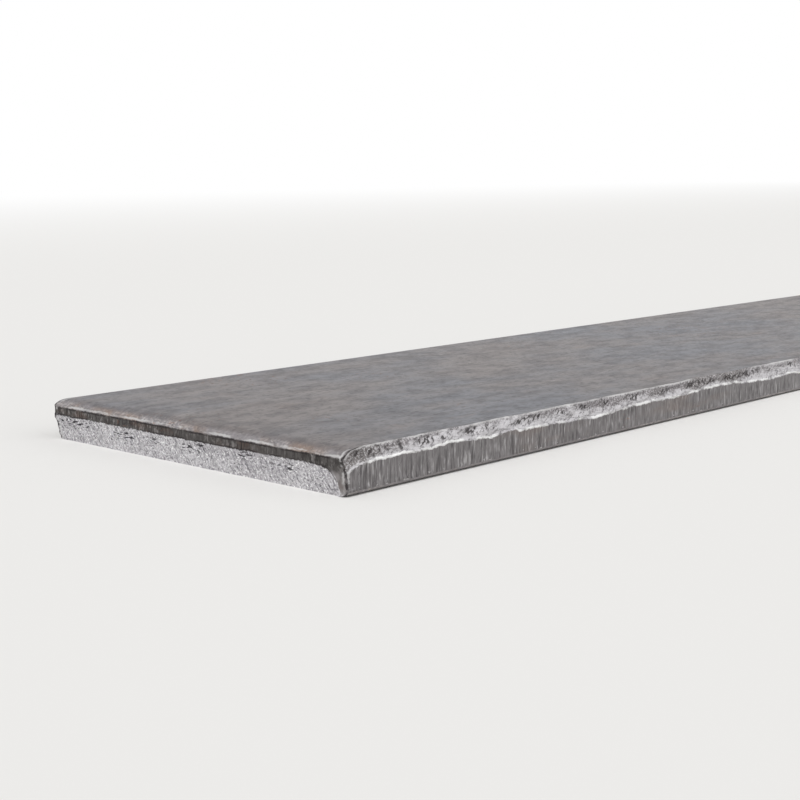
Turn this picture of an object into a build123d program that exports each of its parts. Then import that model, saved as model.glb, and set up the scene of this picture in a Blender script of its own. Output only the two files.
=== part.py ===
"""Mild-steel flat bar, 100 x 10 mm, slit from plate and cropped to length by shear.

Units are millimetres. The bar lies flat: X runs along its length, Y across its width
and Z up through its thickness. The origin is the middle of the face it rests on.

A shear leaves the same profile along every cut. The blade first draws the face down
into a rounded roll, then leaves a smooth upright land, and the rest of the thickness
breaks away at a slope, so the face opposite the roll ends a little short. The piece
that stays on the table has its roll on top. The piece that drops off has it underneath.
A bar is one and then the other as it is slit, and again as it is cropped, so its two
long edges are one profile turned over, and so are its two ends.
"""

import os

from build123d import *

# Stock size
bar_length = 3000.0
bar_width = 100.0
bar_thickness = 10.0

# Long edges, slit with the blades set close: a tall land and a short break
slit_roll_run = 2.4
slit_roll_drop = 1.1
slit_land = 5.0
slit_breakout = 0.9

# Ends, cropped with the blades set wide: a long roll, a narrow land and a tall break
crop_roll_run = 5.0
crop_roll_drop = 2.0
crop_land = 2.0
crop_breakout = 0.7


def sheared_strip(span, roll_run, roll_drop, land, breakout):
    """Returns the outline of a strip sheared at both sides of its span, as a sketch.

    The strip is centred on the sketch's Y axis and stands on its X axis. It has its
    roll on top at the left side, and the same profile turned over at the right side.
    """
    half_span = span / 2
    land_top = bar_thickness - roll_drop
    land_foot = land_top - land
    with BuildSketch() as strip:
        with BuildLine():
            EllipticalCenterArc(
                (-half_span + roll_run, land_top),
                roll_run,
                roll_drop,
                start_angle=90,
                arc_size=90,
            )
            left_break = Polyline(
                (-half_span, land_top), (-half_span, land_foot), (-half_span + breakout, 0)
            )
            Line(left_break @ 1, (half_span - roll_run, 0))
            EllipticalCenterArc(
                (half_span - roll_run, roll_drop),
                roll_run,
                roll_drop,
                start_angle=270,
                arc_size=90,
            )
            right_break = Polyline(
                (half_span, roll_drop),
                (half_span, bar_thickness - land_foot),
                (half_span - breakout, bar_thickness),
            )
            Line(right_break @ 1, (-half_span + roll_run, bar_thickness))
        make_face()
    return strip.sketch


with BuildPart() as flat_bar:
    # The slit strip, seen from its -X end: the edge at -Y has its roll underneath
    with BuildSketch(Plane.left.offset(bar_length / 2)):
        add(sheared_strip(bar_width, slit_roll_run, slit_roll_drop, slit_land, slit_breakout))
    extrude(amount=-bar_length)

    # Cropped to length, seen from its -Y edge: the end at -X has its roll on top
    with BuildSketch(Plane.front.offset(bar_width / 2)):
        add(sheared_strip(bar_length, crop_roll_run, crop_roll_drop, crop_land, crop_breakout))
    extrude(amount=-bar_width, mode=Mode.INTERSECT)

flat_bar.part.label = "flat_bar"

os.makedirs("parts", exist_ok=True)
export_step(flat_bar.part, "parts/flat_bar.step")
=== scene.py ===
"""The looks of a sheared steel flat bar: its relief, its finishes and the studio round it.

The bar lies flat, with its length along X, its width along Y and its origin in the
middle of the face it rests on. Relief is worked out in millimetres and stored in metres.
"""

import logging
import math
from dataclasses import dataclass, field, replace
from enum import Enum

import bpy
import numpy as np
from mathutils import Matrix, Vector
from mathutils.geometry import delaunay_2d_cdt


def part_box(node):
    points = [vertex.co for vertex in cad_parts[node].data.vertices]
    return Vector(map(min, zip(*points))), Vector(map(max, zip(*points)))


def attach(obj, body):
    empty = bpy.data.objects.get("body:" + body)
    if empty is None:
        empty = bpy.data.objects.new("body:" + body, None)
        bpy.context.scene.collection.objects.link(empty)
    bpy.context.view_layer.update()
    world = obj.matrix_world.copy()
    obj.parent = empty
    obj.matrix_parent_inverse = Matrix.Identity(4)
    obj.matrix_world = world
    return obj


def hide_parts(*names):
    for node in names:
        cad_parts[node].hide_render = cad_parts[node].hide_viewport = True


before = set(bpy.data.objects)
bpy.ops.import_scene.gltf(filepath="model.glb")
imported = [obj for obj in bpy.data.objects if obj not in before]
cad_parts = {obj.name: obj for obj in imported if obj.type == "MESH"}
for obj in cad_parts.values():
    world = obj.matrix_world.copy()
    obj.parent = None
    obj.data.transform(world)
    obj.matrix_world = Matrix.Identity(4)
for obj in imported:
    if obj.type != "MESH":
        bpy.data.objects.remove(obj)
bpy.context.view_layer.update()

log = logging.getLogger("flat_bar")

MM = 0.001
FRAME_PIXELS = 800
READING_LIMIT = 3.0  # mm. Readings are held to this, so that they stay even between stations


class Roll(Enum):
    """Which wide face the blade drew down, so which face a cut's roll is on."""

    ON_TOP = "on top"
    UNDERNEATH = "underneath"


class Outward(Enum):
    """The way a cut looks, along its axis."""

    MINUS = -1
    PLUS = 1


class Reading(Enum):
    """What the mesh tells the finishes at each point, under the name it is stored by.

    Each is a distance in mm, but for the last. TORN is positive where the metal broke,
    SCALED is positive on the mill scale, RIM counts from the rim of the broken face, and
    CORNER from the nearest upright corner. DIVED says how far the land runs down past its
    usual foot, and ON_END is 1 on an end and 0 elsewhere.
    """

    TORN = "torn"
    SCALED = "scaled"
    RIM = "rim"
    CORNER = "corner"
    DIVED = "dived"
    ON_END = "on_end"


class Laid(Enum):
    """What a pattern is laid on: the bar, or a cut, with X along it and Z up through it."""

    ON_BAR = "on the bar"
    ON_CUT = "on a cut"


def ramp(value: np.ndarray, start: float, end: float) -> np.ndarray:
    """Eases from 0, at the start value and before it, to 1, at the end value and after it."""
    part = np.clip((value - start) / (end - start), 0, 1)
    return part * part * (3 - 2 * part)


def held(reading: np.ndarray, least: float = -READING_LIMIT) -> np.ndarray:
    """Holds a reading between the least value given and the limit."""
    return np.clip(reading, least, READING_LIMIT)


@dataclass(frozen=True)
class Grain:
    """Smooth seeded noise that doesn't repeat, for relief."""

    seed: int

    def value(self, u: np.ndarray, v: np.ndarray) -> np.ndarray:
        """Gives noise with one random value at each whole number of u and v.

        Args:
            u: First coordinate, in cells.
            v: Second coordinate, in cells, the same shape as u.

        Returns:
            Values from -1 to 1, the same shape as u.
        """
        cell_u, cell_v = np.floor(u).astype(np.int64), np.floor(v).astype(np.int64)
        part_u, part_v = u - cell_u, v - cell_v
        ease_u = part_u**3 * (part_u * (part_u * 6 - 15) + 10)
        ease_v = part_v**3 * (part_v * (part_v * 6 - 15) + 10)
        corners = []
        for step_u, step_v in ((0, 0), (1, 0), (0, 1), (1, 1)):
            # The large numbers only scramble the cell's place into a random value
            mixed = (cell_u + step_u) * 374761393 + (cell_v + step_v) * 668265263
            mixed = mixed + self.seed * 69069
            mixed = ((mixed ^ (mixed >> 13)) * 1274126177) & 0xFFFFFFFF
            corners.append(((mixed ^ (mixed >> 16)) & 0xFFFF) / 32767.5 - 1)
        low = corners[0] + (corners[1] - corners[0]) * ease_u
        high = corners[2] + (corners[3] - corners[2]) * ease_u
        return low + (high - low) * ease_v


@dataclass(frozen=True)
class Ripple:
    """Patches of noise of a real size on a cut. Sizes are in mm.

    The number sets it apart from the cut's other ripples, and the lean is how far it
    moves back along the cut for each mm up. Without a rise, it is the same all the way up.
    """

    number: int
    length: float
    rise: float = math.inf
    depth: float = 1.0
    lean: float = 0.0


@dataclass(frozen=True)
class ShearCut:
    """The profile that a shear leaves through the bar's thickness, in mm.

    Heights count from the face opposite the roll, where the metal broke away.
    """

    thickness: float
    roll_run: float
    roll_drop: float
    land: float
    breakout: float
    roll: Roll

    @property
    def land_top(self) -> float:
        """Height where the land ends and the roll begins."""
        return self.thickness - self.roll_drop

    @property
    def land_foot(self) -> float:
        """Height where the metal stopped shearing and broke."""
        return self.land_top - self.land

    def from_break(self, z: np.ndarray) -> np.ndarray:
        """Turns a height over the floor into one over the broken face, or back."""
        return z if self.roll is Roll.ON_TOP else self.thickness - z

    def setback(self, height: np.ndarray, foot: np.ndarray | float) -> np.ndarray:
        """Gives how far the cut stands back from its outermost plane.

        Args:
            height: Height over the broken face, in mm.
            foot: Height of the land's foot there, in mm.

        Returns:
            The distance in mm.
        """
        turn = np.clip((height - self.land_top) / self.roll_drop, 0, 1)
        rolled = self.roll_run * (1 - np.sqrt(np.maximum(1 - turn * turn, 0)))
        broken = self.breakout * (1 - np.clip(height / foot, 0, 1))
        return rolled + broken

    def scaled(self, height: np.ndarray) -> np.ndarray:
        """Gives the mill scale's reading: 0 where the roll begins, and the limit at its top."""
        return held((height - self.land_top) / self.roll_drop * READING_LIMIT)

    def rows(self, foot: np.ndarray, break_rows: int, land_rows: int, roll_rows: int) -> np.ndarray:
        """Spreads rows over the cut so that one row follows the land's foot.

        Args:
            foot: Height of the land's foot in mm, on one line for each station.
            break_rows: Rows between the broken face and the foot.
            land_rows: Rows on the land.
            roll_rows: Rows round the roll.

        Returns:
            Heights over the broken face, one line for each station, rising.
        """
        broken = foot * np.linspace(0, 1, break_rows + 1)[None, :-1]
        land = foot + (self.land_top - foot) * np.linspace(0, 1, land_rows + 1)[None, :-1]
        turn = np.sin(np.linspace(0, math.pi / 2, roll_rows + 1))
        rolled = np.broadcast_to(self.land_top + self.roll_drop * turn, (len(foot), roll_rows + 1))
        return np.concatenate([broken, land, rolled], axis=1)


@dataclass
class Points:
    """Points of a cut, with what their relief is worked out from. Lengths are in mm.

    The gap is the distance between the mesh's stations there, u the place along the cut,
    the height counts from the broken face, and the foot is the height of the land's foot.
    """

    # Shifts in cells of the noise, so that none of them begins at the bar's middle or foot
    shift_along = 17.3
    shift_up = 5.7

    cut: ShearCut
    seed: int
    gap: np.ndarray | float
    u: np.ndarray
    height: np.ndarray | float = 0.0
    foot: np.ndarray | float = 0.0

    def drawn(self, *ripples: Ripple) -> np.ndarray:
        """Adds up ripples, each fading out where the mesh is too coarse for it.

        Args:
            *ripples: The ripples.

        Returns:
            The sum of their heights, each from minus its depth to its depth.
        """
        total = 0.0
        for ripple in ripples:
            along = (self.u + ripple.lean * self.height) / ripple.length + self.shift_along
            noise = Grain(self.seed + ripple.number).value(along, self.height / ripple.rise + self.shift_up)
            fade = np.clip(ripple.length / np.maximum(self.gap, 1e-6) - 1, 0, 1)
            total = total + ripple.depth * (noise * fade)
        return total


@dataclass(frozen=True)
class TornRelief:
    """The relief of a slit edge, in mm: its tear line, and the lip, layers and marks beside it."""

    waves: tuple[Ripple, ...] = (
        Ripple(0, 34.0, depth=0.75),
        Ripple(1, 11.0, depth=0.38),
        Ripple(2, 3.4, depth=0.20),
        Ripple(3, 1.3, depth=0.10),
    )
    # Where one tear gave way to the next, the line hooks up or down
    hooks: Ripple = Ripple(4, 19.0)
    hook_halfway: float = 0.06
    hook_rise: float = 0.5
    end_rise: float = 0.9
    end_run: float = 3.5
    least_break: float = 1.6
    least_land: float = 1.5

    # The lip stands along the tear line, and the break lies a step deeper
    lip: float = 0.26
    lip_stretches: Ripple = Ripple(5, 9.0, depth=0.5)
    lip_over_line: float = 0.1
    lip_spread: float = 0.28
    step: float = 0.38
    step_waves: Ripple = Ripple(6, 7.0, depth=0.14)
    step_run: float = 0.3

    # Layers of metal that tore one after another, each with a steep rim
    layer: float = 0.15
    layers: tuple[Ripple, ...] = (Ripple(7, 6.5, 1.5, lean=1.1), Ripple(13, 2.1, 0.8, 0.45, -0.6))
    layer_levels: tuple[float, ...] = (-0.42, -0.05, 0.30)
    layer_rim: float = 0.12
    shards: tuple[Ripple, ...] = (Ripple(8, 1.7, 0.7, 0.10, -0.5), Ripple(9, 0.9, 0.45, 0.07))

    # Tongues of metal that were smeared over the break and lie proud of it
    tongue: float = 0.18
    tongues: Ripple = Ripple(10, 9.0, 2.4, lean=1.5)
    tongue_levels: tuple[float, float] = (0.2, 0.4)

    # On the land: the blade's marks, and burrs just under the roll
    marks: tuple[Ripple, ...] = (Ripple(11, 2.6, 30.0, 0.035), Ripple(12, 0.9, 25.0, 0.03))
    burr: float = 0.22
    burrs: Ripple = Ripple(14, 1.3, 0.6)
    burr_levels: tuple[float, float] = (0.45, 0.75)
    burr_under_roll: float = 0.35
    burr_spread: float = 0.3

    # The relief stops where the roll begins: from so far under it to so far up it
    stop_under_roll: float = 0.2
    stop_on_roll: float = 0.4

    def line(self, at: Points, to_end: np.ndarray) -> np.ndarray:
        """Gives the wavy height at which a long edge stopped shearing and tore.

        Args:
            at: The edge's stations.
            to_end: Distance from each to the nearest end, in mm.

        Returns:
            Height over the broken face in mm.
        """
        waves = at.drawn(*self.waves)
        hooked = ramp(at.drawn(self.hooks), -self.hook_halfway, self.hook_halfway)
        waves += self.hook_rise * (hooked - 0.5)
        waves += self.end_rise * (1 - ramp(to_end, 0.0, self.end_run))
        return np.clip(at.cut.land_foot + waves, self.least_break, at.cut.land_top - self.least_land)

    def relief(self, at: Points) -> np.ndarray:
        """Gives the relief of the whole edge.

        Args:
            at: The edge's points.

        Returns:
            How far the surface stands out of its plain profile, in mm.
        """
        below = at.foot - at.height
        in_tear = ramp(below, 0.0, self.step_run)
        lip = self.lip * (0.5 + at.drawn(self.lip_stretches))
        lip *= np.exp(-np.abs(below + self.lip_over_line) / self.lip_spread)
        layers = at.drawn(*self.layers)
        torn = self.layer * sum(ramp(layers, level, level + self.layer_rim) for level in self.layer_levels)
        torn += at.drawn(*self.shards) + self.tongue * ramp(at.drawn(self.tongues), *self.tongue_levels)
        torn -= self.step + at.drawn(self.step_waves)
        under_roll = at.height - at.cut.land_top + self.burr_under_roll
        burrs = ramp(at.drawn(self.burrs), *self.burr_levels)
        burrs *= np.exp(-((under_roll / self.burr_spread) ** 2))
        return lip + in_tear * torn + (1 - in_tear) * (at.drawn(*self.marks) + self.burr * burrs)


@dataclass(frozen=True)
class BrokenRelief:
    """The relief of a cropped end, in mm: its break line, crystal grain, pits and dents."""

    waves: tuple[Ripple, ...] = (
        Ripple(0, 17.0, depth=0.16),
        Ripple(1, 4.0, depth=0.09),
        Ripple(2, 1.2, depth=0.05),
    )
    # The land dives to the bar's foot at the corner where the blade first bit
    corner_sweep: float = 8.0
    corner_strip: float = 2.0
    corner_fullness: float = 3.2

    step: float = 0.14
    step_run: float = 0.4
    grains: tuple[Ripple, ...] = (
        Ripple(5, 5.5, 2.2, 0.10),
        Ripple(6, 2.1, 1.1, 0.07, 0.5),
        Ripple(7, 1.05, 0.8, 0.06),
    )
    # Pits lie in a row a little under the middle of the thickness
    pit: float = 0.28
    pits: Ripple = Ripple(8, 2.4, 0.75)
    pit_levels: tuple[float, float] = (0.52, 0.8)
    pits_under_middle: float = 0.8
    pit_spread: float = 1.2
    dents: Ripple = Ripple(9, 6.0, 8.0, 0.025)

    # The relief stops at the roll and at the long edges, and the land's dive has a soft rim
    stop_at_roll: float = 0.3
    stop_at_edge: float = 0.8
    dive_rim: float = 0.3

    def line(self, at: Points, from_bite: np.ndarray) -> np.ndarray:
        """Gives the height at which an end broke, by the distance from where the blade first bit."""
        sweep = np.clip(1 - (from_bite - self.corner_strip) / self.corner_sweep, 0, 1)
        return (at.cut.land_foot + at.drawn(*self.waves)) * np.sqrt(1 - sweep**self.corner_fullness)

    def relief(self, at: Points) -> np.ndarray:
        """Gives the relief of the whole end.

        Args:
            at: The end's points.

        Returns:
            How far the surface stands out of its plain profile, in mm.
        """
        in_break = ramp(at.foot - at.height, 0.0, self.step_run)
        over_row = at.height - at.cut.thickness / 2 + self.pits_under_middle
        pits = ramp(at.drawn(self.pits), *self.pit_levels) * np.exp(-((over_row / self.pit_spread) ** 2))
        broken = at.drawn(*self.grains) - self.step - self.pit * pits
        return in_break * broken + (1 - in_break) * at.drawn(self.dents)


@dataclass
class Sheet:
    """One face of the bar as a grid or a list of points, with what the finishes read."""

    places: np.ndarray
    readings: dict[Reading, np.ndarray | float]
    indices: np.ndarray = field(default_factory=lambda: np.zeros(0, int))
    faces: np.ndarray = field(default_factory=lambda: np.zeros((0, 4), int))

    def weave(self, outward_first: bool) -> None:
        """Joins the grid's points with quads.

        Args:
            outward_first: True where rows crossed with columns point out of the bar.
        """
        count = np.arange(self.indices.size).reshape(self.indices.shape)
        here, right = count[:-1, :-1], count[1:, :-1]
        above, across = count[:-1, 1:], count[1:, 1:]
        ring = (here, right, across, above) if outward_first else (here, above, across, right)
        self.faces = np.stack([part.ravel() for part in ring], axis=1)

    def read(self, reading: Reading) -> np.ndarray:
        """Gives one of the readings at each corner of its polygons in turn."""
        return np.broadcast_to(self.readings[reading], self.places.shape[:-1]).ravel()[self.faces.ravel()]

    def laid_flat(self) -> tuple[np.ndarray, np.ndarray]:
        """Gives each point's place on the face rolled out flat.

        Returns:
            How far along the face and how far across it each point is, in mm.
        """
        if self.places.ndim == 2:
            return tuple((self.places - self.places.min(axis=0))[:, :2].T)
        steps = np.linalg.norm(np.diff(self.places, axis=0), axis=2).mean(axis=1)
        rises = np.linalg.norm(np.diff(self.places, axis=1), axis=2).mean(axis=0)
        along = np.concatenate([[0], np.cumsum(steps)])
        across = np.concatenate([[0], np.cumsum(rises)])
        return np.repeat(along, len(across)), np.tile(across, len(along))


@dataclass(frozen=True)
class Fineness:
    """How finely a face is drawn on the skin's flat map, in mm to a pixel.

    Along the face, a pixel covers the near length at its start, and more for each mm
    from there, up to the far length.
    """

    near: float
    far: float
    growth: float
    across: float
    steps: int = 3001

    def pixels_along(self, along: np.ndarray) -> np.ndarray:
        """Turns mm along the face into pixels from its start.

        Args:
            along: Places along the face, in mm from its start.

        Returns:
            The same places in pixels.
        """
        table = np.linspace(0, along.max(), self.steps)
        covered = np.minimum(self.near + self.growth * table, self.far)
        pixels = np.concatenate([[0], np.cumsum(np.diff(table) / covered[:-1])])
        return np.interp(along, table, pixels)


@dataclass
class FlatMap:
    """A square map with the whole skin laid out flat, for an exported model's baked finish.

    In one piece, a long bar would get only a few pixels across its thickness. So each face
    is cut across into lengths that fill the map's width, which lie one above the other.
    """

    pixels: int = 1024
    side_margin: int = 8
    margin: int = 2
    used: float = 0.0

    def lay(self, sheet: Sheet, fineness: Fineness) -> np.ndarray:
        """Lays one face of the bar on the map's next free rows.

        Args:
            sheet: The face.
            fineness: How finely to draw it.

        Returns:
            Place on the map, from 0 to 1, of each corner of the face's polygons in turn.
        """
        along, across = sheet.laid_flat()
        along = fineness.pixels_along(along)[sheet.faces]
        across = (across / fineness.across)[sheet.faces]
        strip_width = self.pixels - 2 * self.side_margin
        strip_height = across.max() + 2 * self.margin
        strip = np.floor(along.mean(axis=1) / strip_width)[:, None]
        u = along - strip * strip_width + self.side_margin
        v = across + strip * strip_height + self.margin + self.used
        self.used += (np.floor(along.max() / strip_width) + 1) * strip_height
        return np.stack([u.ravel(), v.ravel()], axis=1) / self.pixels


@dataclass
class FlatBar:
    """The bar's skin: one closed mesh with the shear's relief on its edges and ends."""

    length: float
    width: float
    thickness: float

    slit_roll_run: float = 2.4
    slit_roll_drop: float = 1.1
    slit_land: float = 5.0
    slit_breakout: float = 0.9

    crop_roll_run: float = 5.0
    crop_roll_drop: float = 2.0
    crop_land: float = 2.0
    crop_breakout: float = 0.7

    torn: TornRelief = TornRelief()
    broken: BrokenRelief = BrokenRelief()

    # Upright corners: how far along an edge the end's profile is felt, and how ragged they are
    corner_run: float = 20.0
    corner_ragged: tuple[tuple[float, float], ...] = ((0.16, 0.7), (0.10, 0.35))
    corner_ragged_run: float = 0.35

    # Rows of the mesh up a cut. Each cut has as many in all, so that corners meet
    slit_rows: tuple[int, int, int] = (13, 12, 7)
    crop_rows: tuple[int, int, int] = (18, 6, 8)
    end_columns: int = 200
    end_rows_blend: float = 5.0

    # Stations along the bar, in mm: fine where the photo comes close, and coarser away from it
    finest_gap: float = 0.4
    plain_gap: float = 0.9
    widest_gap: float = 5.0
    gap_growth: float = 0.005
    plain_gap_growth: float = 0.012

    # Lines of points in a wide face, from its long edges to its middle
    first_inset: float = 1.0
    first_inner_gap: float = 1.6
    inner_gap_growth: float = 1.6
    inset_in_gaps: float = 1.5
    face_rim: float = 2.6

    sharp_angle: float = 50.0

    # Faces in the order of sheets(): edges at -Y and +Y, near end, far end, top and underside
    fineness: tuple[Fineness, ...] = (
        Fineness(0.25, 0.60, 0.0008, 0.40),
        Fineness(0.40, 0.75, 0.0010, 0.42),
        Fineness(0.11, 0.11, 0.0, 0.14),
        Fineness(0.20, 0.20, 0.0, 0.22),
        Fineness(0.50, 1.20, 0.0012, 0.95),
        Fineness(1.50, 1.50, 0.0, 1.40),
    )

    def cut(self, roll: Roll, end: bool) -> ShearCut:
        """Gives the profile of a cut.

        Args:
            roll: Which wide face its roll is on.
            end: True for a cropped end, false for a slit edge.

        Returns:
            The profile.
        """
        sizes = (self.slit_roll_run, self.slit_roll_drop, self.slit_land, self.slit_breakout)
        if end:
            sizes = (self.crop_roll_run, self.crop_roll_drop, self.crop_land, self.crop_breakout)
        return ShearCut(self.thickness, *sizes, roll)

    def stations(self, finest: float, growth: float) -> np.ndarray:
        """Spaces stations along the bar, from fine at both ends to coarse between.

        Args:
            finest: Gap at the near end, in mm.
            growth: How much the gap grows for each mm along the bar at the near end.

        Returns:
            X of each station in mm, rising.
        """
        from_near = [0.0]
        while from_near[-1] < self.length:
            near = finest + growth * from_near[-1]
            far = self.plain_gap + self.plain_gap_growth * (self.length - from_near[-1])
            from_near.append(from_near[-1] + min(near, far, self.widest_gap))
        spaced = np.array(from_near)
        return spaced * (self.length / spaced[-1]) - self.length / 2

    def ragged(self, x: np.ndarray, z: np.ndarray, seed: int) -> np.ndarray:
        """Draws a long edge's ends in to meet the profiles of the bar's ends, with ragged corners.

        Args:
            x: Place along the edge in mm.
            z: Height over the floor in mm.
            seed: Seed of the edge.

        Returns:
            The new places along the edge.
        """
        rags = sum(
            depth * Grain(seed + number).value(z / size, 0 * z)
            for number, (depth, size) in enumerate(self.corner_ragged, start=20)
        )
        for way, roll in ((Outward.MINUS, Roll.ON_TOP), (Outward.PLUS, Roll.UNDERNEATH)):
            crop = self.cut(roll, end=True)
            back = crop.setback(crop.from_break(z), crop.land_foot)
            from_end = self.length / 2 - way.value * x
            shift = back * (1 - ramp(from_end, 0.0, self.corner_run))
            x = x - way.value * (shift - rags * np.exp(-from_end / self.corner_ragged_run))
        return x

    def long_edge(self, way: Outward, roll: Roll, stations: np.ndarray, seed: int) -> Sheet:
        """Builds one slit edge of the bar.

        Args:
            way: Whether the edge looks along -Y or +Y.
            roll: Which wide face its roll is on.
            stations: X of the stations in mm.
            seed: Seed of its relief.

        Returns:
            The edge as a grid, stations by rows that rise.
        """
        cut = self.cut(roll, end=False)
        x, gap = stations[:, None], np.gradient(stations)[:, None]
        to_end = self.length / 2 - np.abs(x)
        foot = self.torn.line(Points(cut, seed, gap, x), to_end)
        height = cut.rows(foot, *self.slit_rows)
        if roll is Roll.UNDERNEATH:
            height = height[:, ::-1]
        z = cut.from_break(height)
        x = self.ragged(x + 0 * z, z, seed)
        relief = self.torn.relief(Points(cut, seed, gap, x, height, foot))
        stops = (cut.land_top - self.torn.stop_under_roll, cut.land_top + self.torn.stop_on_roll)
        relief *= 1 - ramp(height, *stops)
        y = way.value * (self.width / 2 - cut.setback(height, foot) + relief)
        readings = {
            Reading.TORN: held(foot - height),
            Reading.SCALED: cut.scaled(height),
            Reading.RIM: held(height, 0),
            Reading.CORNER: held(to_end, 0),
            Reading.DIVED: 0.0,
            Reading.ON_END: 0.0,
        }
        return Sheet(np.stack([x, y, z], axis=2), readings)

    def cut_end(self, way: Outward, roll: Roll, right: Sheet, left: Sheet, seed: int) -> Sheet:
        """Builds one cropped end of the bar between its two long edges.

        The blade first bit at -Y on the near end, and at +Y on the far end.

        Args:
            way: Whether the end looks along -X or +X.
            roll: Which wide face its roll is on.
            right: The long edge at -Y.
            left: The long edge at +Y.
            seed: Seed of its relief.

        Returns:
            The end as a grid, columns from -Y to +Y by rows that rise.
        """
        cut = self.cut(roll, end=True)
        station = 0 if way is Outward.MINUS else -1
        first, last = right.places[station], left.places[station]
        share = np.linspace(0, 1, self.end_columns + 1)[:, None]
        y = first[None, :, 1] + (last[None, :, 1] - first[None, :, 1]) * share
        middle = cut.rows(np.full_like(share, cut.land_foot), *self.crop_rows)
        if roll is Roll.UNDERNEATH:
            middle = cut.thickness - middle[:, ::-1]
        to_edge = np.minimum(share, 1 - share) * self.width
        at_edge = np.where(share < 0.5, first[None, :, 2], last[None, :, 2])
        z = at_edge + (middle - at_edge) * ramp(to_edge, 0.0, self.end_rows_blend)
        height = cut.from_break(z)
        gap = self.width / self.end_columns
        foot = self.broken.line(Points(cut, seed, gap, y), self.width / 2 - way.value * y)
        relief = self.broken.relief(Points(cut, seed, gap, y, height, foot))
        stops = (cut.land_top - self.broken.stop_at_roll, cut.land_top + self.broken.stop_at_roll)
        relief *= ramp(to_edge, 0.0, self.broken.stop_at_edge) * (1 - ramp(height, *stops))
        x = way.value * (self.length / 2 - cut.setback(height, cut.land_foot) + relief)
        places = np.stack([x, y, z], axis=2)
        places[0], places[-1] = first, last
        readings = {
            Reading.TORN: held(foot - height),
            Reading.SCALED: cut.scaled(height),
            Reading.RIM: held(height, 0),
            Reading.CORNER: held(to_edge, 0),
            Reading.DIVED: held(cut.land_foot - height, 0) * ramp(height - foot, 0.0, self.broken.dive_rim),
            Reading.ON_END: 1.0,
        }
        return Sheet(places, readings)

    def wide_face(self, z: float, rim: np.ndarray, rim_indices: np.ndarray, first_free: int) -> Sheet:
        """Fills one wide face inside its rim, with points that thin out away from the rim.

        Args:
            z: Height of the face in mm.
            rim: X and Y of the rim's points in mm, in order round the face.
            rim_indices: The rim points' numbers in the whole mesh.
            first_free: The number that the face's first inner point gets.

        Returns:
            The face as a list of points, with triangles that turn anticlockwise seen from above.
        """
        inner = []
        inset, gap = self.first_inset, self.first_inner_gap
        while inset < self.width / 2 - gap:
            along = self.stations(gap, self.plain_gap_growth)
            along = along[np.abs(along) < self.length / 2 - self.crop_roll_run - inset]
            from_middle = self.width / 2 - self.face_rim - inset
            for y in (-from_middle, from_middle):
                inner.append(np.stack([along, np.full_like(along, y)], axis=1))
            inset += gap * self.inset_in_gaps
            gap *= self.inner_gap_growth
        points = np.concatenate([rim, *inner])
        count = len(rim)
        loop = [(i, (i + 1) % count) for i in range(count)]
        found = delaunay_2d_cdt([Vector(p) for p in points], loop, [], 1, 1e-7)
        numbers = np.array([source[0] for source in found[3]])
        readings = {
            Reading.TORN: -READING_LIMIT,
            Reading.SCALED: READING_LIMIT,
            Reading.RIM: READING_LIMIT,
            Reading.CORNER: READING_LIMIT,
            Reading.DIVED: 0.0,
            Reading.ON_END: 0.0,
        }
        free = first_free + np.arange(len(points) - count)
        return Sheet(
            np.column_stack([points, np.full(len(points), z)]),
            readings,
            np.concatenate([rim_indices, free]),
            numbers[np.array(found[2])],
        )

    def sheets(self) -> list[Sheet]:
        """Builds all six faces, numbered so that neighbours share their rims.

        Returns:
            The faces, each with the numbers of its points in the whole mesh.
        """
        fine = self.stations(self.finest_gap, self.gap_growth)
        plain = self.stations(self.plain_gap, self.plain_gap_growth)
        right = self.long_edge(Outward.MINUS, Roll.UNDERNEATH, fine, seed=101)
        left = self.long_edge(Outward.PLUS, Roll.ON_TOP, plain, seed=201)
        near = self.cut_end(Outward.MINUS, Roll.ON_TOP, right, left, seed=301)
        far = self.cut_end(Outward.PLUS, Roll.UNDERNEATH, right, left, seed=401)

        numbered = 0
        for edge in (right, left):
            shape = edge.places.shape[:2]
            edge.indices = numbered + np.arange(shape[0] * shape[1]).reshape(shape)
            numbered += edge.indices.size
        for end, station in ((near, 0), (far, -1)):
            shape = (end.places.shape[0] - 2, end.places.shape[1])
            inner = numbered + np.arange(shape[0] * shape[1]).reshape(shape)
            numbered += inner.size
            end.indices = np.concatenate([right.indices[station][None], inner, left.indices[station][None]])
        found = [right, left, near, far]
        for sheet, outward_first in zip(found, (True, False, False, True), strict=True):
            sheet.weave(outward_first)

        onward, back = slice(None, -1), slice(None, 0, -1)
        ring = ((right, onward), (far, onward), (left, back), (near, back))
        for row, z in ((-1, self.thickness), (0, 0.0)):
            rim = np.concatenate([sheet.places[part, row, :2] for sheet, part in ring])
            rim_indices = np.concatenate([sheet.indices[part, row] for sheet, part in ring])
            face = self.wide_face(z, rim, rim_indices, numbered)
            if row == 0:
                face.faces = face.faces[:, ::-1]
            numbered += len(face.places) - len(rim)
            found.append(face)
        return found

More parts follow.
